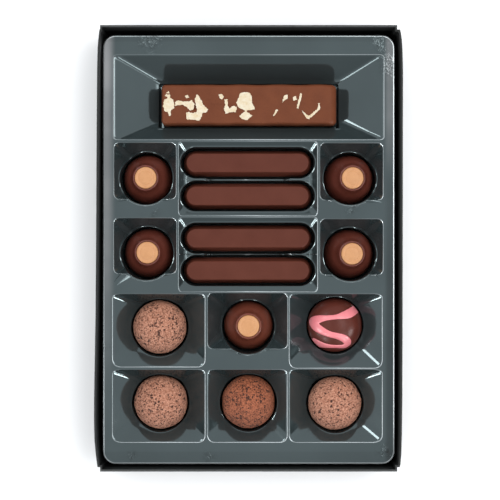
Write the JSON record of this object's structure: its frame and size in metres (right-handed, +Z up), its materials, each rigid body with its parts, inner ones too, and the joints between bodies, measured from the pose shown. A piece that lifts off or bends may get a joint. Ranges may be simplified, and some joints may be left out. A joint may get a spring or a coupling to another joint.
{
  "type": "box of chocolate pralines",
  "caption": "Open shallow card box with a dark moulded plastic tray of assorted chocolates: a nougat bar, long batons, ringed domes, powdered truffles and a dome with a poured pink zigzag.",
  "frame": {"origin": "middle of the card box's underside, on the surface that it rests on", "axes": "+Z up out of the open top, +Y along the box towards the end with the nougat bar, +X across it to the right"},
  "size_m": [0.1558, 0.2252, 0.033],
  "materials": {
    "card": "black coated card, matt to satin",
    "tray_plastic": "dark slate moulded sheet, mirror-like",
    "milk_chocolate": "milk chocolate, soft sheen",
    "nougat": "cream nougat, slightly rough",
    "baton_chocolate": "moulded chocolate, satin",
    "dark_chocolate": "dark chocolate, glossy",
    "caramel": "caramel-coloured disc, satin",
    "truffle_coating": "powder-dusted, rough, speckled"
  },
  "bodies": {
    "root": {"card_box": "card", "tray_cell_bar": "tray_plastic", "tray_cell_batons_1": "tray_plastic", "tray_cell_batons_2": "tray_plastic", "tray_cell_dome_1": "tray_plastic", "tray_cell_dome_2": "tray_plastic", "tray_cell_dome_3": "tray_plastic", "tray_cell_dome_4": "tray_plastic", "tray_cell_dome_5": "tray_plastic", "tray_cell_ball_1": "tray_plastic", "tray_cell_ball_2": "tray_plastic", "tray_cell_ball_3": "tray_plastic", "tray_cell_ball_4": "tray_plastic", "tray_cell_ball_5": "tray_plastic", "nougat_1": "nougat", "nougat_2": "nougat", "nougat_3": "nougat", "nougat_4": "nougat", "nougat_5": "nougat", "nougat_6": "nougat", "nougat_bar": "milk_chocolate", "baton_1": "baton_chocolate", "baton_2": "baton_chocolate", "baton_3": "baton_chocolate", "baton_4": "baton_chocolate", "dome_1": "dark_chocolate", "dome_2": "dark_chocolate", "dome_3": "dark_chocolate", "dome_4": "dark_chocolate", "dome_5": "dark_chocolate", "caramel_1": "caramel", "caramel_2": "caramel", "caramel_3": "caramel", "caramel_4": "caramel", "caramel_5": "caramel", "truffle_1": "truffle_coating", "truffle_2": "truffle_coating", "truffle_3": "truffle_coating", "truffle_4": "truffle_coating", "zigzag_dome": "milk_chocolate"}
  },
  "joints": []
}
